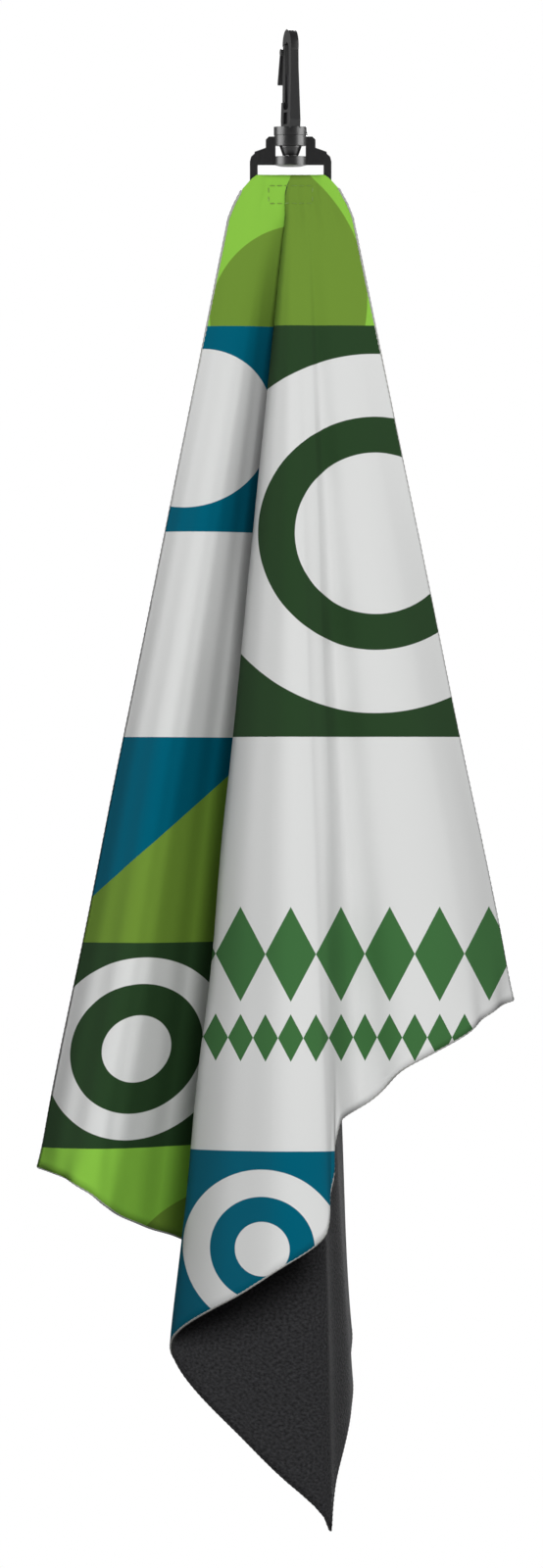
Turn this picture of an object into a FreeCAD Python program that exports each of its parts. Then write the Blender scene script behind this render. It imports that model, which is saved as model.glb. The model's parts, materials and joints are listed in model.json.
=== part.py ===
"""Golf towel hung by one corner from a plastic swivel snap hook.

Millimetres, +Z up, the towel's printed side faces -Y. While it is built, the origin is the centre
of the loop bar under the swivel axis; every piece is moved at the end so that the origin is the
centre of the hook's eye.
"""

import FreeCAD, Part
import math
import os

V = FreeCAD.Vector

# Hook: a flat J in its own plane. "Reach" is measured from the swivel axis towards the gate.
HOOK_YAW = 105.0              # direction of reach, degrees from +X
HOOK_TOP_Z = 67.4
EYE_Z = 58.3
EYE_RADIUS = 3.4
HOOK_SHOULDER_Z = 58.0        # where the straight sides meet the round top
HOOK_TOP_HALF_WIDTH = 6.9
HOOK_FOOT_HALF_WIDTH = 8.0
HOOK_FOOT_Z = 27.0
FLANGE_SEAT_HALF_WIDTH = 7.0
HOOK_THIN_HALF = 1.8          # half thickness above HOOK_THIN_Z
HOOK_THICK_HALF = 2.6         # half thickness at the flange
HOOK_THIN_Z = 50.0
HOOK_BLOCK_HALF = 10.0        # half length of a block that takes in the whole hook
OPENING_FLOOR_Z = 31.5
OPENING_FLOOR_HALF_WIDTH = 4.4
NOSE_LIP_Z = 60.0             # the nose's outer lip ends here
NOSE_POCKET_Z = 60.9          # roof of the pocket that takes the gate's tip
NOSE_POCKET_INNER_REACH = 2.4
NOSE_POCKET_REACH = 5.3
SHANK_POCKET_DEPTH = 1.3
SHANK_POCKET_LOW_Z = 25.0
SHANK_POCKET_HIGH_Z = 30.3
SHANK_POCKET_HALF_WIDTH = 3.4

# Gate lever, its pin and its leaf spring
PIVOT_REACH = 5.9
PIVOT_Z = 32.6
CHEEK_TOP_Z = 34.9
FORK_HALF_GAP = 1.15
FORK_INNER_REACH = 2.9
FORK_LOW_Z = 28.8
GATE_ROOT_RADIUS = 2.5
GATE_ROOT_HALF = 1.1
GATE_BLADE_HALF = 1.7
GATE_CHEEK_RADIUS = 3.1       # the blade keeps this far from the pivot
GATE_TIP_Z = 60.6
GATE_INNER_REACH = 3.45
GATE_TIP_REACH = 5.15
GATE_LIP_GAP = 0.09           # gate to the nose's lip, when shut
GATE_STALK_GAP = 0.04         # stalk to the blade's inner side
GATE_OUTER_REACH = 6.9
GATE_FOOT_REACH = 7.9
THUMB_HALF_WIDTH = 2.5
THUMB_THICKNESS = 1.8
THUMB_KNOB_REACH = 8.1
THUMB_KNOB_Z = 57.4
THUMB_KNOB_RADIUS = 1.6
THUMB_END_REACH = 12.4
THUMB_END_Z = 43.8
PIN_RADIUS = 0.8
PIN_HALF_LENGTH = 2.25
PIN_SEAT_CLEARANCE = 0.02
PIN_RUNNING_CLEARANCE = 0.05
SPRING_HALF_WIDTH = 0.9
SPRING_THICKNESS = 0.3
SPRING_STEPS = 15
SPRING_PATH = [(-1.2, 31.9), (1.2, 32.3), (2.4, 36.0), (3.15, 42.0), (3.2, 47.0)]

# Swivel joint
FLANGE_RADIUS = 7.5
FLANGE_LOW_Z = 20.1
FLANGE_HIGH_Z = 23.8
NECK_RADIUS = 3.0
SWIVEL_CLEARANCE = 0.05
BUTTON_TOP_RADIUS = 5.0
BUTTON_FOOT_RADIUS = 3.5
BUTTON_HIGH_Z = 15.3
BUTTON_LOW_Z = 10.9

# Swivel base with its webbing loop
COLLAR_RADIUS = 7.3
COLLAR_HIGH_Z = 20.0
WINDOW_HIGH_Z = 15.4
WINDOW_LOW_Z = 10.6
WINDOW_HALF_WIDTH = 6.7
RING_LOW_Z = 6.8
BULGE_LOW_Z = 6.1
BULGE_RADIUS = 4.5
SHOULDER_HALF_WIDTH = 11.1
SHOULDER_HIGH_Z = 19.5
SHOULDER_STEP_Z = 14.5
WEB_HALF = 1.2                # half thickness of the wings
SLOT_HALF_WIDTH = 14.7
LOOP_HALF_WIDTH = 18.2
LOOP_CORNER_Z = 12.7
LOOP_CORNER_CUT = 2.2
BAR_RADIUS = 1.6
ROUNDING = 1.4

# Towel: two laminated cloths, hung from the corner between the two sides
SHORT_SIDE = 381.0
LONG_SIDE = 457.0
CORNER_ANGLE = 90.0
LEAST_COSINE = 1e-6           # keeps the far side of a right angle at a finite distance
KEY_SLOPE_SHARE = 1.5         # steepest slope at a key, against the flatter side next to it
FACE_THICKNESS = 0.42
TERRY_THICKNESS = 1.1
LAYER_GAP = 0.04
BAR_GAP = 0.05
HEM_RADIUS = 0.95
HEM_FLATS = 8                 # sides of the bead's cross-section
HEM_CORNER_REACH = 3.0        # how far from a corner the bead starts to turn
HEM_CORNER_STEPS = 6
HEM_SIDE_STEPS = 8
HEM_FACE_POINTS = 8           # points of the hem's path to each face of the bead
HEM_ANGLE_STEP = 1.0          # degrees between points of the hem along the far edge
HEM_OFFSET = 1.05             # cloth edge to the centre line of the hem bead
WRAP_HALF_WIDTH = 14.3
FLARE_Z = -2.0                # the cloth is no wider than the slot above this
FLAT_Z = -11.0                # the stitched corner is flat down to here
FLAT_HALF_WIDTH = 25.0
PLEAT_Z = -17.0               # the three layers of the pleat are apart from here down
PLEAT_RIGHT = 30.0
PLEAT_LEFT = -27.0
PLEAT_LAP = 1.2               # sideways lap of the pleat, in steps
PLEAT_FADE = 4.0              # how soon the front layer returns to the flat sheet
PLEAT_STEP = 1.75             # distance between the pleat's layers at PLEAT_Z
TAIL_END_Z = -13.5
TAIL_END_Y = 0.75
TAIL_END_SHARE = 0.12         # width of the folded tip, as a share of the wrap's
ARC_STEPS = 8
COLUMN_STEP = 2.0             # degrees of the flat corner between neighbouring columns
# How the hanging sheet runs, seen from the corner: angle in the flat sheet from the short side,
# sideways lean from straight down, and backward lean, all in degrees.
SHORT_EDGE, FRONT_FOLD, LOW_CORNER, REAR_FOLD, LONG_EDGE = 0.0, 43.2, 50.2, 63.9, 90.0
DRAPE = [
    (SHORT_EDGE, 15.2, -0.4),
    (7.8, 13.3, -2.6),
    (13.0, 11.6, -3.8),
    (18.0, 7.76, -4.6),
    (23.8, 4.2, -3.3),
    (26.0, 2.7, -3.7),
    (36.2, 2.0, -5.6),
    (38.4, 0.0, -6.5),
    (40.8, -3.2, -5.2),
    (FRONT_FOLD, -5.8, -1.4),
    (LOW_CORNER, 1.7, 0.2),
    (REAR_FOLD, 2.9, 9.0),
    (73.3, -7.0, 2.4),
    (78.1, -10.2, -1.9),
    (81.4, -11.4, -2.6),
    (LONG_EDGE, -14.4, 1.0),
]
BIAS_STRETCH = 0.0186         # the cloth stretches this much towards its lowest corner
BIAS_WIDTH = 4.5              # degrees either side of the lowest corner

# Stitched box that closes the folded corner
STITCH_RADIUS = 0.28
STITCH_HALF_WIDTH = 9.5
STITCH_HIGH_Z = -2.8
STITCH_LOW_Z = -10.2
STITCH_GAP = 0.03


def plate(outline, half_thickness):
    """A flat solid in the XZ plane from (x, z) corners, centred on Y = 0."""
    corners = [V(x, -half_thickness, z) for x, z in outline]
    face = Part.Face(Part.makePolygon(corners + corners[:1]))
    return face.extrude(V(0, 2 * half_thickness, 0))


def disc_y(x, z, radius, half_length):
    """A cylinder along Y, centred on Y = 0."""
    return Part.makeCylinder(radius, 2 * half_length, V(x, -half_length, z), V(0, 1, 0))


def disc_z(radius, low, high):
    """A cylinder along Z on the swivel axis."""
    return Part.makeCylinder(radius, high - low, V(0, 0, low))


def box(x_low, x_high, y_half, z_low, z_high):
    """A box centred on Y = 0."""
    return Part.makeBox(x_high - x_low, 2 * y_half, z_high - z_low, V(x_low, -y_half, z_low))


def yawed(shape):
    """Turns a shape from the hook's own plane to the way the hook faces."""
    shape.rotate(V(0, 0, 0), V(0, 0, 1), HOOK_YAW)
    return shape


def hook_blank():
    """The hook's outline before the opening and the gate's room are cut."""
    rise = HOOK_TOP_Z - HOOK_SHOULDER_Z
    left = V(-HOOK_TOP_HALF_WIDTH, -HOOK_THICK_HALF, HOOK_SHOULDER_Z)
    right = V(HOOK_TOP_HALF_WIDTH, -HOOK_THICK_HALF, HOOK_SHOULDER_Z)
    top = V(0, -HOOK_THICK_HALF, HOOK_SHOULDER_Z + rise)
    sides = [
        (HOOK_FOOT_HALF_WIDTH, HOOK_FOOT_Z),
        (FLANGE_SEAT_HALF_WIDTH, FLANGE_HIGH_Z - ROUNDING),
        (-FLANGE_SEAT_HALF_WIDTH, FLANGE_HIGH_Z - ROUNDING),
        (-HOOK_FOOT_HALF_WIDTH, HOOK_FOOT_Z),
    ]
    line = Part.makePolygon([right] + [V(x, -HOOK_THICK_HALF, z) for x, z in sides] + [left])
    crown = Part.Arc(left, top, right).toShape()
    wire = Part.Wire(line.Edges + [crown])
    blank = Part.Face(wire).extrude(V(0, 2 * HOOK_THICK_HALF, 0))
    taper = [
        V(-HOOK_BLOCK_HALF, -HOOK_THICK_HALF, FLANGE_LOW_Z),
        V(-HOOK_BLOCK_HALF, HOOK_THICK_HALF, FLANGE_LOW_Z),
        V(-HOOK_BLOCK_HALF, HOOK_THIN_HALF, HOOK_THIN_Z),
        V(-HOOK_BLOCK_HALF, HOOK_THIN_HALF, HOOK_TOP_Z + ROUNDING),
        V(-HOOK_BLOCK_HALF, -HOOK_THIN_HALF, HOOK_TOP_Z + ROUNDING),
        V(-HOOK_BLOCK_HALF, -HOOK_THIN_HALF, HOOK_THIN_Z),
    ]
    wedge = Part.Face(Part.makePolygon(taper + taper[:1])).extrude(V(2 * HOOK_BLOCK_HALF, 0, 0))
    return blank.common(wedge)


def hook_body():
    """J-shaped hook, flange, swivel neck and the button that holds it in the base."""
    reach = HOOK_FOOT_HALF_WIDTH + ROUNDING
    opening = plate(
        [
            (-EYE_RADIUS, EYE_Z),
            (EYE_RADIUS, EYE_Z),
            (OPENING_FLOOR_HALF_WIDTH, OPENING_FLOOR_Z + ROUNDING),
            (OPENING_FLOOR_HALF_WIDTH - ROUNDING, OPENING_FLOOR_Z),
            (ROUNDING - OPENING_FLOOR_HALF_WIDTH, OPENING_FLOOR_Z),
            (-OPENING_FLOOR_HALF_WIDTH, OPENING_FLOOR_Z + ROUNDING),
        ],
        HOOK_THICK_HALF,
    )
    cuts = [
        opening,
        disc_y(0, EYE_Z, EYE_RADIUS, HOOK_THICK_HALF),
        box(0, reach, HOOK_THICK_HALF, CHEEK_TOP_Z, NOSE_LIP_Z),
        box(NOSE_POCKET_INNER_REACH, NOSE_POCKET_REACH, HOOK_THICK_HALF, EYE_Z, NOSE_POCKET_Z),
        box(FORK_INNER_REACH, reach, FORK_HALF_GAP, FORK_LOW_Z, CHEEK_TOP_Z + ROUNDING),
        disc_y(PIVOT_REACH, PIVOT_Z, PIN_RADIUS + PIN_SEAT_CLEARANCE, HOOK_THICK_HALF),
    ]
    for y in (-HOOK_THICK_HALF, HOOK_THICK_HALF - SHANK_POCKET_DEPTH):
        pocket = Part.makeBox(
            2 * SHANK_POCKET_HALF_WIDTH,
            SHANK_POCKET_DEPTH,
            SHANK_POCKET_HIGH_Z - SHANK_POCKET_LOW_Z,
            V(-SHANK_POCKET_HALF_WIDTH, y, SHANK_POCKET_LOW_Z),
        )
        cuts.append(pocket)
    body = hook_blank()
    for cut in cuts:
        body = body.cut(cut)
    button = Part.makeCone(
        BUTTON_FOOT_RADIUS, BUTTON_TOP_RADIUS, BUTTON_HIGH_Z - BUTTON_LOW_Z, V(0, 0, BUTTON_LOW_Z)
    )
    flange = disc_z(FLANGE_RADIUS, FLANGE_LOW_Z, FLANGE_HIGH_Z)
    neck = disc_z(NECK_RADIUS, BUTTON_HIGH_Z, FLANGE_LOW_Z)
    return yawed(body.multiFuse([flange, neck, button]).removeSplitter())


def gate_lever():
    """Gate that closes the hook's mouth, with the thumb lever on its outside."""
    blade = plate(
        [
            (GATE_INNER_REACH, PIVOT_Z),
            (GATE_INNER_REACH, GATE_TIP_Z),
            (GATE_TIP_REACH, GATE_TIP_Z),
            (GATE_TIP_REACH, NOSE_LIP_Z - GATE_LIP_GAP),
            (GATE_OUTER_REACH, NOSE_LIP_Z - GATE_LIP_GAP),
            (GATE_FOOT_REACH, PIVOT_Z),
        ],
        GATE_BLADE_HALF,
    )
    blade = blade.cut(disc_y(PIVOT_REACH, PIVOT_Z, GATE_CHEEK_RADIUS, GATE_BLADE_HALF))
    blade = blade.cut(box(0, GATE_FOOT_REACH, GATE_BLADE_HALF, 0, CHEEK_TOP_Z))
    root = disc_y(PIVOT_REACH, PIVOT_Z, GATE_ROOT_RADIUS, GATE_ROOT_HALF)
    stalk = box(
        PIVOT_REACH - GATE_ROOT_RADIUS + GATE_STALK_GAP,
        PIVOT_REACH + GATE_ROOT_RADIUS - ROUNDING / 2,
        GATE_ROOT_HALF,
        PIVOT_Z,
        PIVOT_Z + GATE_CHEEK_RADIUS + ROUNDING,
    )
    knob = disc_y(THUMB_KNOB_REACH, THUMB_KNOB_Z, THUMB_KNOB_RADIUS, THUMB_HALF_WIDTH)
    bridge = box(
        GATE_OUTER_REACH - ROUNDING,
        THUMB_KNOB_REACH,
        GATE_BLADE_HALF,
        THUMB_KNOB_Z - THUMB_KNOB_RADIUS / 2,
        THUMB_KNOB_Z + THUMB_KNOB_RADIUS / 2,
    )
    thumb = plate(
        [
            (THUMB_KNOB_REACH, THUMB_KNOB_Z),
            (THUMB_KNOB_REACH + THUMB_THICKNESS / 2, THUMB_KNOB_Z),
            (THUMB_END_REACH + THUMB_THICKNESS / 2, THUMB_END_Z),
            (THUMB_END_REACH - THUMB_THICKNESS / 2, THUMB_END_Z),
        ],
        THUMB_HALF_WIDTH,
    )
    tip = disc_y(THUMB_END_REACH, THUMB_END_Z, THUMB_THICKNESS / 2, THUMB_HALF_WIDTH)
    gate = blade.multiFuse([root, stalk, knob, bridge, thumb, tip])
    bore = disc_y(PIVOT_REACH, PIVOT_Z, PIN_RADIUS + PIN_RUNNING_CLEARANCE, HOOK_THICK_HALF)
    return yawed(gate.cut(bore).removeSplitter())


def gate_pin():
    """Pin the gate turns on."""
    return yawed(disc_y(PIVOT_REACH, PIVOT_Z, PIN_RADIUS, PIN_HALF_LENGTH))


def gate_spring():
    """Leaf spring from the floor of the opening to the gate's inner side."""
    curve = Part.BSplineCurve()
    curve.interpolate([V(x, -SPRING_HALF_WIDTH, z) for x, z in SPRING_PATH])
    first, last = curve.FirstParameter, curve.LastParameter
    near = []
    far = []
    for i in range(SPRING_STEPS + 1):
        at = first + (last - first) * i / SPRING_STEPS
        point = curve.value(at)
        along = V(*curve.tangent(at)[0])
        side = V(along.z, 0, -along.x).normalize()
        near.append(point + side * (SPRING_THICKNESS / 2))
        far.append(point - side * (SPRING_THICKNESS / 2))
    edges = []
    for row in (near, far):
        line = Part.BSplineCurve()
        line.interpolate(row)
        edges.append(line.toShape())
    caps = [Part.makeLine(near[0], far[0]), Part.makeLine(near[-1], far[-1])]
    wire = Part.Wire(Part.__sortEdges__(edges + caps))
    return yawed(Part.Face(wire).extrude(V(0, 2 * SPRING_HALF_WIDTH, 0)))


def swivel_base():
    """Collar, window, shoulders and the loop the towel hangs from, moulded in one."""
    core = disc_z(COLLAR_RADIUS, RING_LOW_Z, COLLAR_HIGH_Z)
    depth = RING_LOW_Z - BULGE_LOW_Z
    bulge = Part.makeCone(BULGE_RADIUS, COLLAR_RADIUS, depth, V(0, 0, BULGE_LOW_Z))
    bar = Part.makeCylinder(BAR_RADIUS, 2 * LOOP_HALF_WIDTH, V(-LOOP_HALF_WIDTH, 0, 0), V(1, 0, 0))
    pieces = [bulge, bar]
    for side in (-1, 1):
        wing = [
            (0, SHOULDER_HIGH_Z),
            (side * (SHOULDER_HALF_WIDTH - ROUNDING), SHOULDER_HIGH_Z),
            (side * SHOULDER_HALF_WIDTH, SHOULDER_HIGH_Z - ROUNDING),
            (side * SHOULDER_HALF_WIDTH, SHOULDER_STEP_Z),
            (side * (SLOT_HALF_WIDTH + ROUNDING), LOOP_CORNER_Z),
            (side * (SLOT_HALF_WIDTH + ROUNDING), RING_LOW_Z),
            (0, RING_LOW_Z),
        ]
        leg = [
            (side * SLOT_HALF_WIDTH, LOOP_CORNER_Z),
            (side * (LOOP_HALF_WIDTH - LOOP_CORNER_CUT), LOOP_CORNER_Z - ROUNDING / 2),
            (side * (LOOP_HALF_WIDTH - LOOP_CORNER_CUT / 4), LOOP_CORNER_Z - LOOP_CORNER_CUT),
            (side * LOOP_HALF_WIDTH, LOOP_CORNER_Z - 2 * LOOP_CORNER_CUT),
            (side * LOOP_HALF_WIDTH, 0),
            (side * SLOT_HALF_WIDTH, 0),
        ]
        pieces += [plate(wing, WEB_HALF), plate(leg, BAR_RADIUS)]
    base = core.multiFuse(pieces)
    window = box(-WINDOW_HALF_WIDTH, WINDOW_HALF_WIDTH, COLLAR_RADIUS, WINDOW_LOW_Z, WINDOW_HIGH_Z)
    bore = disc_z(NECK_RADIUS + SWIVEL_CLEARANCE, WINDOW_LOW_Z + ROUNDING, COLLAR_HIGH_Z)
    return base.cut(window).cut(bore).removeSplitter()


def key_slope(keys, k, column):
    """Slope of a key table's curve at one key: level where the curve turns back."""
    before, after = [
        (keys[i + 1][column] - keys[i][column]) / (keys[i + 1][0] - keys[i][0])
        for i in (max(k - 1, 0), min(k, len(keys) - 2))
    ]
    if k in (0, len(keys) - 1):
        return before
    if before * after <= 0:
        return 0.0
    return math.copysign(KEY_SLOPE_SHARE * min(abs(before), abs(after)), after)


def between(keys, at, column):
    """Smooth value of one column of a key table, through every key and never beyond one."""
    i = min(max(k for k in range(len(keys)) if keys[k][0] <= at), len(keys) - 2)
    span = keys[i + 1][0] - keys[i][0]
    t = (at - keys[i][0]) / span
    rise = t * t * (3 - 2 * t)
    start = t * (1 - t) ** 2 * span * key_slope(keys, i, column)
    end = t * t * (t - 1) * span * key_slope(keys, i + 1, column)
    return keys[i][column] * (1 - rise) + keys[i + 1][column] * rise + start + end


def edge_distance(angle):
    """Distance in the flat sheet from the hung corner to the cloth's far edge."""
    to_short = (SHORT_SIDE - 2 * HEM_OFFSET) / max(math.cos(math.radians(angle)), LEAST_COSINE)
    to_long = (LONG_SIDE - 2 * HEM_OFFSET) / max(math.sin(math.radians(angle)), LEAST_COSINE)
    return min(to_short, to_long)


def spread(angle):
    """Place across the folded corner, from 1 on the short edge to -1 on the long edge."""
    return math.tan(math.radians(CORNER_ANGLE / 2 - angle))


def middle_radius():
    """Radius of the sheet's middle where it goes round the bar."""
    return BAR_RADIUS + BAR_GAP + TERRY_THICKNESS


def pleat_point(angle):
    """Where the sheet leaves the flat corner, already laid in three layers."""
    step = PLEAT_STEP
    y = -middle_radius()
    if angle <= FRONT_FOLD:
        share = (spread(angle) - spread(FRONT_FOLD)) / (1 - spread(FRONT_FOLD))
        x = -PLEAT_LAP * step + share * (PLEAT_RIGHT + PLEAT_LAP * step)
        y -= 2 * step * max(0.0, 1 - PLEAT_FADE * share) ** 2
    elif angle <= REAR_FOLD:
        share = (angle - FRONT_FOLD) / (REAR_FOLD - FRONT_FOLD)
        x = PLEAT_LAP * step * (2 * share - 1)
        y -= 2 * step * (1 - share)
    else:
        share = (spread(angle) - spread(REAR_FOLD)) / (-1 - spread(REAR_FOLD))
        x = PLEAT_LAP * step + share * (PLEAT_LEFT - PLEAT_LAP * step)
    return V(x, y, PLEAT_Z)


def far_edge_point(angle, extra=0.0):
    """A point of the hanging sheet's far edge, or beyond it by extra."""
    lean = math.radians(between(DRAPE, angle, 1))
    back = math.radians(between(DRAPE, angle, 2))
    stretch = BIAS_STRETCH * math.exp(-(((angle - LOW_CORNER) / BIAS_WIDTH) ** 2))
    reach = edge_distance(angle) * (1 + stretch) + extra
    across = math.cos(back) * reach
    return V(across * math.sin(lean), reach * math.sin(back), -across * math.cos(lean))


def sheet_rows(angles):
    """Rows of points of the sheet's middle, from the folded tip round the bar to the far edge."""
    radius = middle_radius()
    rows = [[V(WRAP_HALF_WIDTH * TAIL_END_SHARE * spread(a), TAIL_END_Y, TAIL_END_Z) for a in angles]]
    for i in range(ARC_STEPS + 1):
        turn = math.pi * i / ARC_STEPS
        y, z = radius * math.cos(turn), radius * math.sin(turn)
        rows.append([V(WRAP_HALF_WIDTH * spread(a), y, z) for a in angles])
    rows.append([V(WRAP_HALF_WIDTH * spread(a), -radius, FLARE_Z) for a in angles])
    rows.append([V(FLAT_HALF_WIDTH * spread(a), -radius, FLAT_Z) for a in angles])
    rows.append([pleat_point(a) for a in angles])
    rows.append([far_edge_point(a) for a in angles])
    return rows


def normals(rows):
    """Unit normals of a grid of points, on the printed side."""
    found = []
    for r in range(len(rows)):
        line = []
        for c in range(len(rows[r])):
            across = rows[r][min(c + 1, len(rows[r]) - 1)] - rows[r][max(c - 1, 0)]
            down = V(0, 0, 0)
            if r > 0:
                down += (rows[r][c] - rows[r - 1][c]).normalize()
            if r < len(rows) - 1:
                down += (rows[r + 1][c] - rows[r][c]).normalize()
            line.append(across.cross(down).normalize())
        found.append(line)
    return found


def row_curve(points):
    """A smooth curve through a row of points."""
    curve = Part.BSplineCurve()
    curve.interpolate(Points=points, Parameters=[float(i) for i in range(len(points))])
    return curve


def ruled_surface(near, far):
    """The surface of straight lines between two smooth curves that share their knots."""
    surface = Part.BSplineSurface()
    poles = [near.getPoles(), far.getPoles()]
    counts, knots = near.getMultiplicities(), near.getKnots()
    surface.buildFromPolesMultsKnots(poles, [2, 2], counts, [0.0, 1.0], knots, False, False, 1, 3)
    return surface


def ruled_face(near, far):
    """The face of straight lines between two smooth curves that share their knots."""
    return ruled_surface(near, far).toShape()


def end_face(corners):
    """A four-cornered face across the thickness of a cloth's straight side."""
    surface = Part.BSplineSurface()
    surface.buildFromPolesMultsKnots(
        corners, [2, 2], [2, 2], [0.0, 1.0], [0.0, 1.0], False, False, 1, 1
    )
    return surface.toShape()


def closed_solid(faces):
    """The solid inside a closed set of faces."""
    shell = Part.makeShell(faces)
    shell.sewShape()
    solid = Part.Solid(shell.Shells[0])
    if solid.Volume < 0:
        solid.reverse()
    return solid


def sheet(low, high):
    """A cloth between two distances from the sheet's middle, measured towards the print."""
    total = round(CORNER_ANGLE / COLUMN_STEP)
    angles = [CORNER_ANGLE * i / total for i in range(total + 1)]
    split = round(LOW_CORNER / COLUMN_STEP)
    angles[split] = LOW_CORNER
    rows = sheet_rows(angles)
    skins = []
    for offset in (low, high):
        skins.append([
            [p + n * offset for p, n in zip(row, line)] for row, line in zip(rows, normals(rows))
        ])
    faces = []
    for part in (slice(0, split + 1), slice(split, total + 1)):
        curves = [[row_curve(row[part]) for row in skin] for skin in skins]
        for skin in curves:
            faces += [ruled_face(near, far) for near, far in zip(skin, skin[1:])]
        faces += [ruled_face(curves[0][end], curves[1][end]) for end in (0, -1)]
    for side in (0, -1):
        for r in range(len(rows) - 1):
            faces.append(end_face([[skin[r][side], skin[r + 1][side]] for skin in skins]))
    return closed_solid(faces)


def face_cloth():
    """Printed polyester face."""
    return sheet(LAYER_GAP, LAYER_GAP + FACE_THICKNESS)


def terry_back():
    """Charcoal terry backing."""
    return sheet(-TERRY_THICKNESS, 0.0)


def side_point(angle, along):
    """A point beside a straight side of the cloth, from the flat corner down to the far edge."""
    inner = 1.0 if angle < LOW_CORNER else -1.0
    near = pleat_point(angle + inner) - pleat_point(angle)
    far = far_edge_point(angle + inner) - far_edge_point(angle)
    outward = (near * (1 - along) + far * along).normalize() * -HEM_OFFSET
    low = far_edge_point(angle, HEM_OFFSET)
    return pleat_point(angle) * (1 - along) + low * along + outward


def rounded_corner(before, corner, after):
    """Points that take a path round a corner, in place of the corner itself."""
    start = corner + (before - corner).normalize() * HEM_CORNER_REACH
    end = corner + (after - corner).normalize() * HEM_CORNER_REACH
    turned = []
    for i in range(HEM_CORNER_STEPS + 1):
        t = i / HEM_CORNER_STEPS
        turned.append(start * (1 - t) ** 2 + corner * (2 * t * (1 - t)) + end * t ** 2)
    return turned


def bead(path):
    """A bead of constant thickness along a path."""
    rings = []
    reach = [0.0]
    across = V(0, 1, 0)
    for i, point in enumerate(path):
        along = (path[min(i + 1, len(path) - 1)] - path[max(i - 1, 0)]).normalize()
        across = (across - along * across.dot(along)).normalize()
        third = along.cross(across)
        ring = []
        for k in range(HEM_FLATS):
            turn = 2 * math.pi * k / HEM_FLATS
            offset = across * math.cos(turn) + third * math.sin(turn)
            ring.append(point + offset * HEM_RADIUS)
        rings.append(ring)
        if i > 0:
            reach.append(reach[-1] + (point - path[i - 1]).Length)
    curves = []
    for k in range(HEM_FLATS):
        curve = Part.BSplineCurve()
        curve.interpolate(Points=[ring[k] for ring in rings], Parameters=reach)
        curves.append(curve)
    cuts = reach[:-HEM_FACE_POINTS:HEM_FACE_POINTS] + reach[-1:]
    faces = []
    for k in range(HEM_FLATS):
        for low, high in zip(cuts, cuts[1:]):
            strip = ruled_surface(curves[k - 1], curves[k])
            strip.segment(0, 1, low, high)
            faces.append(strip.toShape())
    for ring in (rings[0], rings[-1]):
        faces.append(Part.Face(Part.makePolygon(ring + ring[:1])))
    return closed_solid(faces)


def edge_hem():
    """Stitched hem bead round the four edges, outside the edges of both cloths."""
    short_side = [side_point(SHORT_EDGE, i / HEM_SIDE_STEPS) for i in range(HEM_SIDE_STEPS + 1)]
    long_side = [side_point(LONG_EDGE, 1 - i / HEM_SIDE_STEPS) for i in range(HEM_SIDE_STEPS + 1)]
    below = []
    for low, high in ((SHORT_EDGE, LOW_CORNER), (LOW_CORNER, LONG_EDGE)):
        count = round((high - low) / HEM_ANGLE_STEP)
        angles = [low + (high - low) * i / count for i in range(1, count)]
        below.append([far_edge_point(a, HEM_OFFSET) for a in angles])
    low_corner = far_edge_point(LOW_CORNER, HEM_OFFSET)
    path = short_side[:-1] + rounded_corner(short_side[-2], short_side[-1], below[0][0])
    path += below[0] + rounded_corner(below[0][-1], low_corner, below[1][0]) + below[1]
    path += rounded_corner(below[1][-1], long_side[0], long_side[1]) + long_side[1:]
    return bead(path)


def corner_stitch():
    """Box of thread that closes the folded corner round the bar."""
    depth = -(middle_radius() + LAYER_GAP + FACE_THICKNESS + STITCH_GAP + STITCH_RADIUS)
    corners = [
        V(-STITCH_HALF_WIDTH, depth, STITCH_HIGH_Z),
        V(STITCH_HALF_WIDTH, depth, STITCH_HIGH_Z),
        V(STITCH_HALF_WIDTH, depth, STITCH_LOW_Z),
        V(-STITCH_HALF_WIDTH, depth, STITCH_LOW_Z),
    ]
    pieces = []
    for here, there in zip(corners, corners[1:] + corners[:1]):
        along = there - here
        pieces.append(Part.makeCylinder(STITCH_RADIUS, along.Length, here, along))
        pieces.append(Part.makeSphere(STITCH_RADIUS, here))
    return pieces[0].multiFuse(pieces[1:]).removeSplitter()


def main():
    os.makedirs("parts", exist_ok=True)
    pieces = {
        "hook_body": hook_body,
        "gate_lever": gate_lever,
        "gate_pin": gate_pin,
        "gate_spring": gate_spring,
        "swivel_base": swivel_base,
        "face_cloth": face_cloth,
        "terry_back": terry_back,
        "edge_hem": edge_hem,
        "corner_stitch": corner_stitch,
    }
    for node, make in pieces.items():
        shape = make()
        shape.translate(V(0, 0, -EYE_Z))
        print(node, shape.ShapeType, shape.isValid(), round(shape.Volume, 2), shape.BoundBox)
        shape.exportStep(f"parts/{node}.step")


main()
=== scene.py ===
"""Looks for the golf towel: draped printed cloth with a terry back, hung from a swivel snap hook."""

import json
import math

import bmesh
import bpy
import numpy as np
from mathutils import Matrix, Vector

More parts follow.
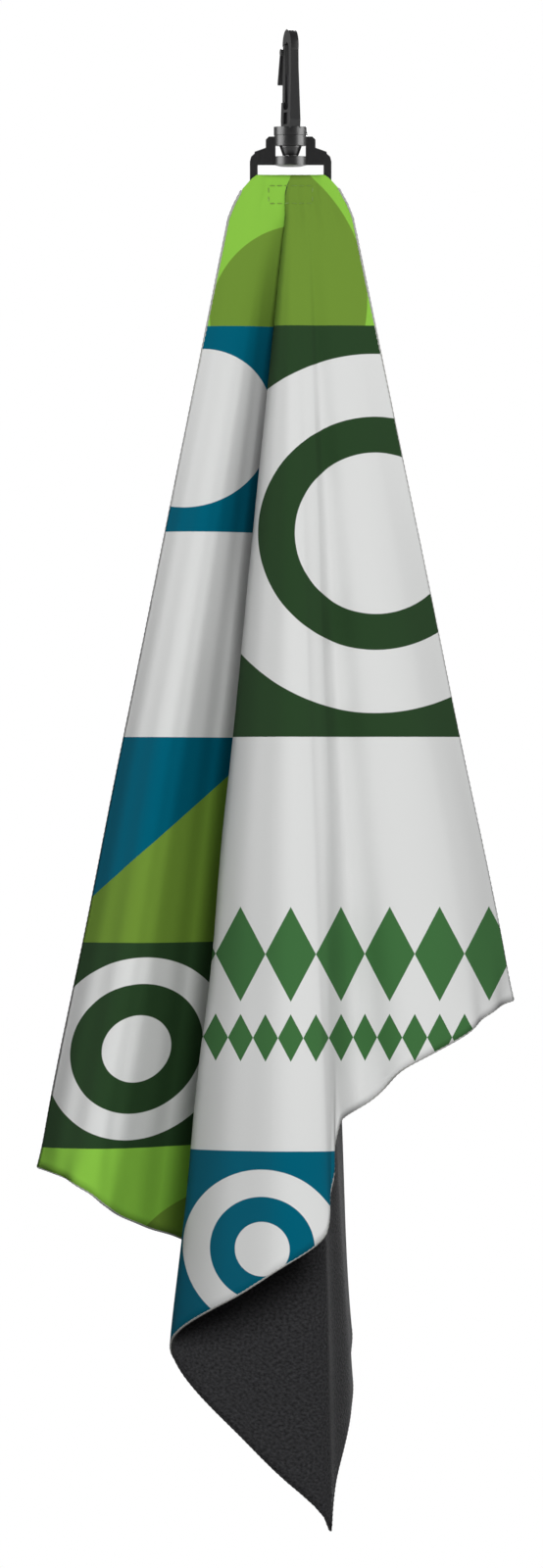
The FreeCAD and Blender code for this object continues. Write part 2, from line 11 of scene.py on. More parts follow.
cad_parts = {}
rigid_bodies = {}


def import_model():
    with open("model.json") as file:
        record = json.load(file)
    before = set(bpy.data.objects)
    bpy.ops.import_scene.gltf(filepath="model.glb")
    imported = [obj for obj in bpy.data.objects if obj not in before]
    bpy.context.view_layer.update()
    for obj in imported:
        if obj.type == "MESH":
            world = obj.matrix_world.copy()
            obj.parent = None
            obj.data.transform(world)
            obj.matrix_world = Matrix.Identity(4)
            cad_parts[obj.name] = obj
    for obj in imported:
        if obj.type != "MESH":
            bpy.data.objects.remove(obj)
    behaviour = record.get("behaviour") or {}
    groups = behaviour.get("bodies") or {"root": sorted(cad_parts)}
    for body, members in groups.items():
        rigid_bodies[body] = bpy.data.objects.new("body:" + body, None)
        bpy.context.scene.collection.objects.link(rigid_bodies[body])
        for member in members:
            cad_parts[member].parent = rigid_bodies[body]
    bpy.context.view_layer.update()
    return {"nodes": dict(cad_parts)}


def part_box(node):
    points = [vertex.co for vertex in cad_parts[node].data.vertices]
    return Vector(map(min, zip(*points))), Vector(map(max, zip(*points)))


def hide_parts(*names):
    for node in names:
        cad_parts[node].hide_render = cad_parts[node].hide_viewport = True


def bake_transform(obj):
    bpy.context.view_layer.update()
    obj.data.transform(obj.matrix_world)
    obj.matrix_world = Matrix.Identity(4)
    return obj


MM = 0.001

# ---- cloth sizes, in millimetres and degrees -----------------------------------------------------

# The hanging corner. Heights are measured from the centre of the loop's bar, and distances down the
# front are negative over the bar and behind it.
BAR = Vector((0, 0, -58.3))   # centre of the loop's bar, from the frame's origin
BAR_RADIUS = 1.6
BAR_GAP = 0.05
SHORT_SIDE = 379.0
LONG_SIDE = 455.0
TERRY_THICKNESS = 1.1
TERRY_PRESSED = 0.35          # the pile is pressed this thin where the corner is stitched
PILE_RISES = (6.0, 90.0)      # distances down the front between which the pile comes up
FACE_THICKNESS = 0.42
LAYER_GAP = 0.02
MIDDLE_RADIUS = BAR_RADIUS + BAR_GAP + TERRY_PRESSED
BAR_ARC = math.pi * MIDDLE_RADIUS
TAIL_LENGTH = 13.5            # the folded tip hangs this far down behind the bar
TAIL_DEPTH = 0.75
TAIL_TIP_SHARE = 0.1          # width of the tip's end, as a share of the cloth's at the bar
PLEAT_DROP = 17.0
PLEAT_LAP = 2.3               # the pleat's folds overlap by this much either side of the middle
LAP_RANGE = (-3.0, 7.0)       # distances down the front between which the lap forms
LEG_FRONT = 2.9               # the cloth passes the loop's legs at least this far forward
LEG_SIDES = (10.5, 14.4)      # sideways places between which it comes forward for the legs
LEG_DROP = (1.0, 15.0)        # distances down the front between which all of it comes forward

# Distance down the front, and half the cloth's width there.
HALF_WIDTHS = np.array([(-8.0, 14.2), (-3.5, 14.4), (0.0, 18.0), (4.0, 21.5), (11.0, 25.2), (17.0, 27.6)])

# How the hanging sheet runs, seen from the corner: angle in the flat sheet from the short side,
# sideways lean and backward lean.
DIAGONAL = 45.0
FRONT_FOLD = 43.2
LOW_CORNER = 50.2
REAR_FOLD = 63.9
DRAPE = np.array([
    (0.0, 15.2, -0.4),
    (7.8, 13.3, -2.6),
    (13.0, 11.6, -3.8),
    (18.0, 7.76, -4.6),
    (23.8, 4.4, -3.8),
    (26.0, 2.9, -5.2),
    (36.2, 2.0, -6.3),
    (38.4, 0.0, -6.7),
    (40.8, -3.2, -5.0),
    (FRONT_FOLD, -5.8, -1.4),
    (46.7, -2.55, -0.65),
    (48.7, 0.2, -0.15),
    (LOW_CORNER, 1.7, 0.2),
    (52.3, 1.9, 1.3),
    (55.6, 2.75, 3.9),
    (REAR_FOLD, 2.9, 9.0),
    (70.5, -5.0, 7.0),
    (73.3, -7.0, 3.8),
    (75.6, -8.7, 0.2),
    (78.1, -10.2, -1.9),
    (81.4, -11.4, -2.6),
    (86.5, -13.1, -1.6),
    (90.0, -14.4, 0.3),
])
KEY_SLOPE_SHARE = 1.5         # steepest slope at a key, against the flatter side next to it
BIAS_STRETCH = 0.0186         # the cloth stretches this much towards its lowest corner
BIAS_WIDTH = 4.5              # degrees either side of the lowest corner
FRONT_FOLD_RADIUS = 1.35
REAR_FOLD_RADIUS = 0.7
FOLD_GROWTH = 0.006           # the folds get rounder by this much per millimetre down
OPENING = (-4.0, 26.0)        # distances down the front between which the folds open
SETTLING = (20.0, 120.0)      # and between which the sheet settles back from being pushed forward

# Puckers under the stitched corner. A pitch is the distance in which a wave turns by one radian.
PUCKER_HEIGHT = 0.30
PUCKERS = 31                  # in a full turn about the corner
PUCKER_DROP = 15.0
PUCKER_REACH = 11.0
# Slack waves in the body of the cloth, each direction swayed by the other
SLACK = (60.0, 330.0)         # distances down the front between which the slack sets in
WAVE_HEIGHT = 0.8
WAVE_PITCH_SHORT = 23.0
WAVE_PITCH_LONG = 37.0
WAVE_OFFSET = 1.1
WAVE_SWAY = 0.9
WAVE_SWAY_PITCH = 41.0
# Small waves along the far edge, which die away inwards
LIP_HEIGHT = 0.55
LIP_PITCH = 7.5
LIP_SWAY_PITCH = 29.0
LIP_REACH = 12.0

# Grid of the sheet
COLUMNS = 262
COLUMN_SAMPLES = 9001
COLUMN_CROWDING = 3           # how much denser the columns are at a fold, added to 1
CROWDED_WIDTH = 1.6           # degrees either side of a fold
RAY_ROWS = 132
ROW_CROWDING = 1.15           # above 1, rows lie closer together near the pleat
TOP_ROWS = 18
ARC_ROWS = 12
TAIL_ROWS = 4
LEAST_COSINE = 1e-9           # keeps the far side of a right angle at a finite distance
LEAST_LENGTH = 1e-12          # keeps a normal finite where the grid has no area

HEM_HALF_THICKNESS = 0.8
HEM_HALF_WIDTH = 0.55
HEM_TOP = 3.0                 # the hem's thread starts this far down the front
HEM_STEP = 0.6
HEM_PITCH = 2.4
HEM_SWELL = 0.13              # the thread swells by this share at every stitch
HEM_SIDES = 8
STITCH_RADIUS = 0.24
STITCH_LENGTH = 2.5
STITCH_GAP = 0.9
STITCH_LIFT = STITCH_RADIUS / 3
IN_FRONT = -50.0              # depth of a place well in front of the stitched corner

# ---- hardware and joints, in metres and degrees --------------------------------------------------

WELD_DISTANCE = 0.00001
BEVEL_WIDTH = 0.00045
BEVEL_STEPS = 3
BEVEL_ANGLE = 35

# ---- colours, as they look in even light ---------------------------------------------------------

LIGHT_GREEN = (143, 203, 73)
MID_GREEN = (115, 150, 56)
DARK_GREEN = (44, 70, 42)
TEAL = (0, 97, 121)
BAND_GREEN = (66, 114, 65)
WHITE = (228, 229, 228)
CHARCOAL = (38, 38, 39)
PILE_DEEP = (26, 26, 27)
PILE_TIP = (66, 66, 68)
THREAD_GREY = (176, 176, 172)
PLASTIC = (20, 20, 21)
STEEL = (70, 70, 72)
# painted shade: the dark colour mixed into the face cloth's print where other cloth lies close in front
# of it
SHADE = (12, 14, 12)
SHADE_REACH = 0.035           # metres: cloth closer than this darkens the cloth behind it, as painted shade
SHADE_STRENGTH = 0.55
SHADE_SAMPLES = 16

# ---- print, in millimetres: places are (across, down from the bar) -------------------------------

TILE = 91.7                   # side of the squares that the print is laid out in
FIRST_ROW = 65.2              # the first line across the print
ROW_LINES = [FIRST_ROW + TILE * i for i in range(5)]
PRINT_SPAN = 700.0            # height and width covered by the print's map
PANEL_LEAN = 0.105            # how far the rear panel's print leans sideways per millimetre down
SOFT_EDGE = 0.25              # width of the edge between two colours

# Discs: place and radius
REAR_TOP_DISC = ((7.5, 57.1), 37.2)
REAR_SECOND_DISC = ((-31.9, 110.7), 35.4)
REAR_LAST_DISC = ((20.0, 500.0), 48.5)
FRONT_TOP_DISC = ((-38.2, 53.3), 72.3)
# Rings: place and radii, the largest first
REAR_RINGS = ((-28.2, 387.6), (40.8, 29.0, 15.0))
FRONT_RINGS = ((37.8, 157.9), (80.1, 52.0, 36.0))
LOW_RINGS = ((-12.5, 475.1), (35.0, 23.0, 12.0))
SLANT_LINE = 265.3            # across plus down, on the rear panel's slanting line
# Rows of lozenges: how far down, distance apart, height
LOZENGE_ROWS = ((345.0, 22.0, 42.0), (382.0, 11.0, 21.0))
LOZENGE_EDGE = 0.02           # softness of a lozenge's edge, as a share of its half size

# ---- studio, in metres ---------------------------------------------------------------------------

LIGHT_TARGET = (0, 0, -0.33)
FILL = 0.05                   # brightness of the surroundings as they light the object
MIRRORED = 0.3                # as the object mirrors them
BACKDROP = 1.0                # and as the camera sees them
FLOOR_Z = -0.82
FLOOR_RADIUS = 2.1
FLOOR_SIDES = 96
FLOOR_GLOW = 0.25             # keeps the floor pale where the soft lights fade
VIEW_HEIGHT = 0.700
VIEW_MIDDLE = (-0.00853, -0.3278)   # across and up
FOCAL_LENGTH = 300.0          # millimetres, like the sensor
SENSOR = 36.0
FARTHEST_SEEN = 100


def linear(colour):
    """Linear RGBA from an 8-bit display colour."""
    channels = []
    for c in colour:
        c = c / 255
        channels.append(c / 12.92 if c <= 0.04045 else ((c + 0.055) / 1.055) ** 2.4)
    return (*channels, 1.0)


# ---- drape ---------------------------------------------------------------------------------------


def smooth_keys(keys, at, column):
    """Curve through one column of a key table that never overshoots a key, for an array of places."""
    x, y = keys[:, 0], keys[:, column]
    chord = np.diff(y) / np.diff(x)
    slopes = np.zeros(len(x))
    slopes[0], slopes[-1] = chord[0], chord[-1]
    turning = chord[:-1] * chord[1:] <= 0
    least = np.minimum(np.abs(chord[:-1]), np.abs(chord[1:])) * np.sign(chord[1:])
    slopes[1:-1] = np.where(turning, 0.0, KEY_SLOPE_SHARE * least)
    i = np.clip(np.searchsorted(x, at, side="right") - 1, 0, len(x) - 2)
    span = x[i + 1] - x[i]
    t = (at - x[i]) / span
    rise = t * t * (3 - 2 * t)
    start = t * (1 - t) ** 2 * span * slopes[i]
    end = t * t * (t - 1) * span * slopes[i + 1]
    return y[i] * (1 - rise) + y[i + 1] * rise + start + end


def ease(low, high, value):
    """0 below low, 1 above high, smooth between."""
    t = np.clip((value - low) / (high - low), 0, 1)
    return t * t * (3 - 2 * t)


def spread(angle):
    """Place across the folded corner: 1 on the short side's edge, -1 on the long side's."""
    return np.tan(np.radians(DIAGONAL - angle))


def sideways(angle, half, lap):
    """Sideways place of each ray across the corner, whose middle is lapped in three layers."""
    front = (spread(angle) - spread(FRONT_FOLD)) / (1 - spread(FRONT_FOLD))
    middle = (angle - FRONT_FOLD) / (REAR_FOLD - FRONT_FOLD)
    rear = (spread(angle) - spread(REAR_FOLD)) / (-1 - spread(REAR_FOLD))
    return np.where(
        angle <= FRONT_FOLD,
        -lap + front * (half + lap),
        np.where(angle <= REAR_FOLD, lap * (2 * middle - 1), lap + rear * (-half - lap)),
    )


def edge_distance(angle):
    """Distance in the flat sheet from the hung corner to the far edge."""
    to_short = SHORT_SIDE / np.maximum(np.cos(np.radians(angle)), LEAST_COSINE)
    to_long = LONG_SIDE / np.maximum(np.sin(np.radians(angle)), LEAST_COSINE)
    return np.minimum(to_short, to_long)


def far_edge(angle):
    """Where each ray of the sheet ends."""
    lean = np.radians(smooth_keys(DRAPE, angle, 1))
    back = np.radians(smooth_keys(DRAPE, angle, 2))
    stretch = BIAS_STRETCH * np.exp(-(((angle - LOW_CORNER) / BIAS_WIDTH) ** 2))
    reach = edge_distance(angle) * (1 + stretch)
    across = np.cos(back) * reach
    return np.stack([across * np.sin(lean), reach * np.sin(back), -across * np.cos(lean)], -1)


def columns():
    """Angles of the sheet's rays, closer together at the folds."""
    fine = np.linspace(0, 90, COLUMN_SAMPLES)
    density = np.ones_like(fine)
    for fold in (FRONT_FOLD, REAR_FOLD):
        density += COLUMN_CROWDING * np.exp(-(((fine - fold) / CROWDED_WIDTH) ** 2))
    total = np.concatenate([[0], np.cumsum((density[1:] + density[:-1]) / 2)])
    angles = np.interp(np.linspace(0, total[-1], COLUMNS), total, fine)
    angles[np.argmin(np.abs(angles - LOW_CORNER))] = LOW_CORNER
    return angles


def corner_distances():
    """Distances down the front of the corner's rows, from the folded tip to above the pleat's foot."""
    tail = np.linspace(-TAIL_LENGTH, 0, TAIL_ROWS + 1)[:-1] - BAR_ARC
    over = np.linspace(-BAR_ARC, 0, ARC_ROWS + 1)[:-1]
    top = np.linspace(0, PLEAT_DROP, TOP_ROWS + 1)[:-1]
    return np.concatenate([tail, over, top])[:, None]


def corner_points(angle, down):
    """The sheet's middle behind the bar, over it and down the pleat."""
    off_tail = np.clip((down + BAR_ARC + TAIL_LENGTH) / TAIL_LENGTH, 0, 1)
    half = np.interp(down, HALF_WIDTHS[:, 0], HALF_WIDTHS[:, 1])
    half = half * (TAIL_TIP_SHARE + (1 - TAIL_TIP_SHARE) * off_tail)
    turn = np.clip((down + BAR_ARC) / BAR_ARC, 0, 1) * math.pi
    tail_y = TAIL_DEPTH + (MIDDLE_RADIUS - TAIL_DEPTH) * off_tail
    y = np.where(off_tail < 1, tail_y, MIDDLE_RADIUS * np.cos(turn))
    z = np.where(off_tail < 1, -TAIL_LENGTH * (1 - off_tail), MIDDLE_RADIUS * np.sin(turn))
    z = np.where(down > 0, -down, z)
    x = sideways(angle, half, PLEAT_LAP * ease(*LAP_RANGE, down))
    past_legs = np.maximum(ease(*LEG_SIDES, np.abs(x)), ease(*LEG_DROP, down))
    forward = past_legs * (down > -BAR_ARC / 2)
    y = y + forward * (np.minimum(y, -LEG_FRONT) - y)
    return np.stack(np.broadcast_arrays(x, y, z), -1)


def hanging_points(angle, share):
    """The sheet's middle along straight rays from the pleat's foot to the far edge."""
    x = sideways(angle, HALF_WIDTHS[-1, 1], PLEAT_LAP)
    start = np.stack([x, np.full_like(x, -LEG_FRONT), np.full_like(x, -PLEAT_DROP)], -1)
    reach = share[..., None]
    return start * (1 - reach) + far_edge(angle) * reach


def drape():
    """The sheet's middle in the air: points, distance down the front, and flat coordinates.

    Rows run from the folded tip behind the bar, over it and down the front to the far edge."""
    angle = columns()[None, :]
    down = corner_distances()
    share = (np.linspace(0, 1, RAY_ROWS + 1) ** ROW_CROWDING)[:, None]
    upper = corner_points(angle, down)
    points = np.concatenate([upper, hanging_points(angle, share)])
    # distance from the folded tip along the flat sheet's diagonal, and then along each ray
    cosine = np.cos(np.radians(angle - DIAGONAL))
    begin = PLEAT_DROP + BAR_ARC + TAIL_LENGTH
    end = edge_distance(angle) * cosine
    along = np.concatenate([
        np.broadcast_to(down + BAR_ARC + TAIL_LENGTH, upper.shape[:2]),
        begin + (end - begin) * share,
    ])
    ray = along / cosine
    a = ray * np.cos(np.radians(angle))
    b = ray * np.sin(np.radians(angle))
    fall = along - BAR_ARC - TAIL_LENGTH
    points = open_folds(points, ray, angle, fall)
    points = ripple(points, ray, angle, fall, a, b)
    return points, fall, a, b


def open_folds(points, ray, angle, fall):
    """Rounds the two folds and spaces the layers of the pleat apart, evenly either way lower down."""
    grow = ease(*OPENING, fall)
    settle = ease(*SETTLING, fall)
    forward = 0
    for fold, least in ((FRONT_FOLD, FRONT_FOLD_RADIUS), (REAR_FOLD, REAR_FOLD_RADIUS)):
        radius = least + FOLD_GROWTH * np.clip(fall, 0, None)
        across = ray * np.sin(np.radians(angle - fold))
        bend = np.clip(across / radius, -math.pi / 2, math.pi / 2)
        forward = forward + radius * ((1 - np.sin(bend)) * grow - settle)
    points[..., 1] -= forward
    return points


def ripple(points, ray, angle, fall, a, b):
    """Small puckers below the stitched corner, and slack waves towards the hem."""
    pucker_fade = np.exp(-(((fall - PUCKER_DROP) / PUCKER_REACH) ** 2))
    pucker = PUCKER_HEIGHT * np.sin(np.radians(angle * PUCKERS)) * pucker_fade
    slack = ease(*SLACK, fall)
    swayed = np.sin(a / WAVE_PITCH_SHORT + WAVE_SWAY * np.sin(b / WAVE_SWAY_PITCH))
    wave = WAVE_HEIGHT * swayed * np.sin(b / WAVE_PITCH_LONG + WAVE_OFFSET) * slack
    lip_fade = np.exp(-(edge_distance(angle) - ray) / LIP_REACH)
    lip_wave = np.sin((a - b) / LIP_PITCH + np.sin((a + b) / LIP_SWAY_PITCH))
    lip = LIP_HEIGHT * lip_wave * lip_fade * slack
    return points + grid_normals(points) * (pucker + wave + lip)[..., None]


def grid_normals(points):
    """Unit normals of a grid of points, on the printed side."""
    down = np.gradient(points, axis=0)
    across = np.gradient(points, axis=1)
    n = np.cross(across, down)
    return n / np.maximum(np.linalg.norm(n, axis=-1, keepdims=True), LEAST_LENGTH)


# ---- meshes --------------------------------------------------------------------------------------


def cloth_piece(name, points, normals, low, high, maps):
    """A closed cloth between two distances from the middle surface, with its maps."""
    rows, count = points.shape[:2]
    upper = points + normals * high[..., None]
    lower = points + normals * low[..., None]
    vertices = (np.concatenate([upper.reshape(-1, 3), lower.reshape(-1, 3)]) + np.array(BAR)) * MM
    index = np.arange(rows * count).reshape(rows, count)
    quads = np.stack([index[:-1, :-1], index[1:, :-1], index[1:, 1:], index[:-1, 1:]], -1).reshape(-1, 4)
    under = quads[:, ::-1] + rows * count
    ring = np.concatenate([index[0, :-1], index[:-1, -1], index[-1, :0:-1], index[:0:-1, 0]])
    after = np.roll(ring, -1)
    rim = np.stack([ring, after, after + rows * count, ring + rows * count], -1)
    mesh = bpy.data.meshes.new(name)
    mesh.from_pydata(vertices.tolist(), [], np.concatenate([quads, under, rim]).tolist())
    for map_name, (u, v) in maps.items():
        flat = np.stack([u, v], -1).reshape(-1, 2)
        add_map(mesh, map_name, np.concatenate([flat, flat]))
    return show(mesh)


def add_map(mesh, name, per_vertex):
    """A UV map from one pair of numbers for each vertex."""
    layer = mesh.uv_layers.new(name=name)
    corner = np.zeros(len(mesh.loops), np.int32)
    mesh.loops.foreach_get("vertex_index", corner)
    layer.data.foreach_set("uv", per_vertex[corner].astype(np.float32).ravel())


def show(mesh):
    """Faces turned outwards, shaded smooth, and the mesh put in the scene."""
    work = bmesh.new()
    work.from_mesh(mesh)
    bmesh.ops.recalc_face_normals(work, faces=work.faces)
    work.to_mesh(mesh)
    work.free()
    mesh.polygons.foreach_set("use_smooth", [True] * len(mesh.polygons))
    obj = bpy.data.objects.new(mesh.name, mesh)
    bpy.context.scene.collection.objects.link(obj)
    return obj


def resampled(values, length, at):
    """Rows of values known at each length along a path, at other lengths along it."""
    return np.stack([np.interp(at, length, values[:, k]) for k in range(3)], -1)


def hem_thread(name, centres, normals):
    """A thread along a path, thicker than it is wide, that swells at every stitch."""
    length = np.concatenate([[0], np.cumsum(np.linalg.norm(np.diff(centres, axis=0), axis=1))])
    at = np.linspace(0, length[-1], round(length[-1] / HEM_STEP) + 1)
    path = resampled(centres, length, at)
    face = resampled(normals, length, at)
    along = np.gradient(path, axis=0)
    along /= np.linalg.norm(along, axis=1, keepdims=True)
    outward = np.cross(along, face)
    outward /= np.linalg.norm(outward, axis=1, keepdims=True)
    turn = 2 * math.pi * np.arange(HEM_SIDES) / HEM_SIDES
    swell = 1 + HEM_SWELL * np.sin(2 * math.pi * at[:, None] / HEM_PITCH + turn)
    ring = path[:, None] + face[:, None] * (HEM_HALF_THICKNESS * swell * np.cos(turn))[..., None]
    ring = ring + outward[:, None] * (HEM_HALF_WIDTH * swell * np.sin(turn))[..., None]
    vertices = (ring.reshape(-1, 3) + np.array(BAR)) * MM
    index = np.arange(len(path) * HEM_SIDES).reshape(-1, HEM_SIDES)
    turned = np.roll(index, -1, axis=1)
    quads = np.stack([index[:-1], index[1:], turned[1:], turned[:-1]], -1).reshape(-1, 4).tolist()
    caps = [index[0].tolist(), index[-1, ::-1].tolist()]
    mesh = bpy.data.meshes.new(name)
    mesh.from_pydata(vertices.tolist(), [], quads + caps)
    around = np.broadcast_to(np.cos(turn) / 2 + 0.5, index.shape)
    lengthwise = np.broadcast_to(at[:, None] / LONG_SIDE, index.shape)
    add_map(mesh, "thread", np.stack([lengthwise, around], -1).reshape(-1, 2))
    return show(mesh)


# ---- shader helpers ------------------------------------------------------------------------------


class Graph:
    """Builds a material's nodes from plain arithmetic."""

    def __init__(self, name):
        self.material = bpy.data.materials.new(name)
        self.material.use_nodes = True
        self.tree = self.material.node_tree
        self.shader = self.tree.nodes["Principled BSDF"]

    def put(self, socket, value):
        """Sets an input to a value, or links it to another node's output."""
        if isinstance(value, bpy.types.NodeSocket):
            self.tree.links.new(value, socket)
        else:
            socket.default_value = value

    def surface(self, inputs):
        """Sets the shader's inputs by name."""
        for name, value in inputs.items():
            self.put(self.shader.inputs[name], value)

    def math(self, operation, *values):
        node = self.tree.nodes.new("ShaderNodeMath")
        node.operation = operation
        for socket, value in zip(node.inputs, values):
            self.put(socket, value)
        return node.outputs[0]

    def mix(self, share, first, second):
        """The first colour where share is 0, the second where it is 1."""
        node = self.tree.nodes.new("ShaderNodeMix")
        node.data_type = "RGBA"
        self.put(node.inputs["Factor"], share)
        self.put(node.inputs["A"], first)
        self.put(node.inputs["B"], second)
        return node.outputs["Result"]

    def uv_map(self, name):
        node = self.tree.nodes.new("ShaderNodeUVMap")
        node.uv_map = name
        return node.outputs[0]

    def mapped(self, name):
        """The two coordinates of a UV map."""
        split = self.tree.nodes.new("ShaderNodeSeparateXYZ")
        self.tree.links.new(self.uv_map(name), split.inputs[0])
        return split.outputs[0], split.outputs[1]

    def noise(self, name, scale, detail=2.0):
        """Noise laid out on a UV map."""
        node = self.tree.nodes.new("ShaderNodeTexNoise")
        node.inputs["Scale"].default_value = scale
        node.inputs["Detail"].default_value = detail
        self.tree.links.new(self.uv_map(name), node.inputs["Vector"])
        return node.outputs[0]

    def bump(self, height, strength, distance):
        node = self.tree.nodes.new("ShaderNodeBump")
        node.inputs["Strength"].default_value = strength
        node.inputs["Distance"].default_value = distance
        self.tree.links.new(height, node.inputs["Height"])
        self.tree.links.new(node.outputs[0], self.shader.inputs["Normal"])

    def shaded(self, colour):
        """Painted shade: the colour, darker where other cloth lies close in front of it."""
        node = self.tree.nodes.new("ShaderNodeAmbientOcclusion")
        node.samples = SHADE_SAMPLES
        node.inputs["Distance"].default_value = SHADE_REACH
        share = self.math("MULTIPLY", self.math("SUBTRACT", 1.0, node.outputs["AO"]), SHADE_STRENGTH)
        return self.mix(share, colour, linear(SHADE))

    def above(self, value, limit, feather=SOFT_EDGE):
        """1 where value is more than limit, 0 where it is less, over an edge as wide as feather."""
        rise = self.math("SUBTRACT", value, limit)
        mask = self.math("MULTIPLY_ADD", rise, 1 / feather, 0.5)
        mask.node.use_clamp = True
        return mask

    def disc(self, x, y, centre, radius):
        """1 inside a disc and 0 outside it."""
        dx = self.math("SUBTRACT", x, centre[0])
        dy = self.math("SUBTRACT", y, centre[1])
        square = self.math("ADD", self.math("MULTIPLY", dx, dx), self.math("MULTIPLY", dy, dy))
        return self.above(self.math("SUBTRACT", radius, self.math("SQRT", square)), 0.0)


# ---- print ---------------------------------------------------------------------------------------


def rings(g, x, y, centre, radii, ground):
    """Discs round one centre, by turns white and the colour of the ground they lie on."""
    colour = linear(ground)
    for i, radius in enumerate(radii):
        tone = ground if i % 2 else WHITE
        colour = g.mix(g.disc(x, y, centre, radius), colour, linear(tone))
    return colour


def lozenges(g, x, y, middle, pitch, height):
    """1 inside a row of lozenges, pitch apart and height tall, and 0 outside it."""
    across = g.math("DIVIDE", g.math("PINGPONG", x, pitch / 2), pitch / 2)
    up = g.math("DIVIDE", g.math("ABSOLUTE", g.math("SUBTRACT", y, middle)), height / 2)
    return g.above(g.math("SUBTRACT", 1.0, g.math("ADD", across, up)), 0.0, LOZENGE_EDGE)


def print_rear_panel(g, x, y):
    """Colours of the print left of the front fold: x across, y down from the bar."""
    x = g.math("MULTIPLY_ADD", y, PANEL_LEAN, x)
    colour = g.mix(g.disc(x, y, *REAR_TOP_DISC), linear(LIGHT_GREEN), linear(MID_GREEN))
    second = g.mix(g.disc(x, y, *REAR_SECOND_DISC), linear(TEAL), linear(WHITE))
    colour = g.mix(g.above(y, ROW_LINES[0]), colour, second)
    colour = g.mix(g.above(y, ROW_LINES[1]), colour, linear(WHITE))
    fourth = g.mix(g.above(g.math("ADD", y, x), SLANT_LINE), linear(TEAL), linear(MID_GREEN))
    colour = g.mix(g.above(y, ROW_LINES[2]), colour, fourth)
    colour = g.mix(g.above(y, ROW_LINES[3]), colour, rings(g, x, y, *REAR_RINGS, DARK_GREEN))
    last = g.mix(g.disc(x, y, *REAR_LAST_DISC), linear(LIGHT_GREEN), linear(MID_GREEN))
    return g.mix(g.above(y, ROW_LINES[4]), colour, last)


def print_front_panel(g, x, y):
    """Colours of the print right of the front fold."""
    colour = g.mix(g.disc(x, y, *FRONT_TOP_DISC), linear(LIGHT_GREEN), linear(MID_GREEN))
    colour = g.mix(g.above(y, ROW_LINES[0]), colour, rings(g, x, y, *FRONT_RINGS, DARK_GREEN))
    field = linear(WHITE)
    for middle, pitch, height in LOZENGE_ROWS:
        field = g.mix(lozenges(g, x, y, middle, pitch, height), field, linear(BAND_GREEN))
    colour = g.mix(g.above(y, ROW_LINES[2]), colour, field)
    return g.mix(g.above(y, ROW_LINES[4]), colour, rings(g, x, y, *LOW_RINGS, TEAL))


# ---- materials -----------------------------------------------------------------------------------


def face_material():
    """Smooth printed polyester, its print told apart by panel."""
    g = Graph("printed_polyester")
    u, v = g.mapped("print")
    x = g.math("MULTIPLY_ADD", u, PRINT_SPAN, -PRINT_SPAN / 2)
    y = g.math("MULTIPLY_ADD", v, -PRINT_SPAN, PRINT_SPAN)
    a, b = g.mapped("flat")
    angle = g.math("DEGREES", g.math("ARCTAN2", b, a))
    is_rear = g.above(angle, (FRONT_FOLD + REAR_FOLD) / 2)
    colour = g.mix(is_rear, print_front_panel(g, x, y), print_rear_panel(g, x, y))
    # painted shade darkens the print where other cloth lies close in front of it
    g.surface({"Base Color": g.shaded(colour), "Roughness": 0.78, "Specular IOR Level": 0.03})
    g.bump(g.noise("flat", scale=900.0), strength=0.12, distance=0.0002)
    return g.material


def terry_material():
    """Charcoal pile, lighter at the tips of its loops."""
    g = Graph("charcoal_terry")
    pile = g.above(g.noise("flat", scale=400.0, detail=4.0), limit=0.5, feather=0.55)
    g.surface({
        "Base Color": g.mix(pile, linear(PILE_DEEP), linear(PILE_TIP)),
        "Roughness": 0.95,
        "Specular IOR Level": 0.05,
        "Sheen Weight": 0.05,
    })
    g.bump(g.noise("flat", scale=360.0, detail=3.0), strength=0.9, distance=0.0012)
    return g.material


def thread_material():
    """Light thread on the printed side, charcoal on the terry side."""
    g = Graph("hem_thread")
    around = g.mapped("thread")[1]
    colour = g.mix(g.above(around, limit=0.55, feather=0.2), linear(CHARCOAL), linear(THREAD_GREY))
    g.surface({"Base Color": colour, "Roughness": 0.85, "Specular IOR Level": 0.15})
    return g.material


def stitch_material():
    """Green thread, like the print it lies on."""
    g = Graph("stitch_thread")
    g.surface({"Base Color": linear(MID_GREEN), "Roughness": 0.6})
    return g.material


def plastic_material():
    """Moulded black plastic with a satin finish."""
    g = Graph("hook_plastic")
    g.surface({"Base Color": linear(PLASTIC), "Roughness": 0.36, "Specular IOR Level": 0.5})
    return g.material


def steel_material():
    """Brushed steel of the pin and the spring."""
    g = Graph("pin_steel")
    g.surface({"Base Color": linear(STEEL), "Metallic": 1.0, "Roughness": 0.35})
    return g.material


def floor_material():
    """Pale and matt, with a faint glow."""
    g = Graph("floor")
    g.surface({
        "Base Color": (0.85, 0.85, 0.85, 1),
        "Roughness": 0.9,
        "Emission Color": (1, 1, 1, 1),
        "Emission Strength": FLOOR_GLOW,
    })
    return g.material


# ---- pieces --------------------------------------------------------------------------------------


def paint(obj, material):
    """Gives the object one material in place of any it has."""
    obj.data.materials.clear()
    obj.data.materials.append(material)


def weld(obj):
    """Joins the vertices that neighbouring faces of the CAD's mesh share."""
    obj.modifiers.new("weld", "WELD").merge_threshold = WELD_DISTANCE


def round_edges(obj):
    """The small radius that a mould leaves on sharp edges."""
    bevel = obj.modifiers.new("bevel", "BEVEL")
    bevel.width = BEVEL_WIDTH
    bevel.segments = BEVEL_STEPS
    bevel.limit_method = "ANGLE"
    bevel.angle_limit = math.radians(BEVEL_ANGLE)


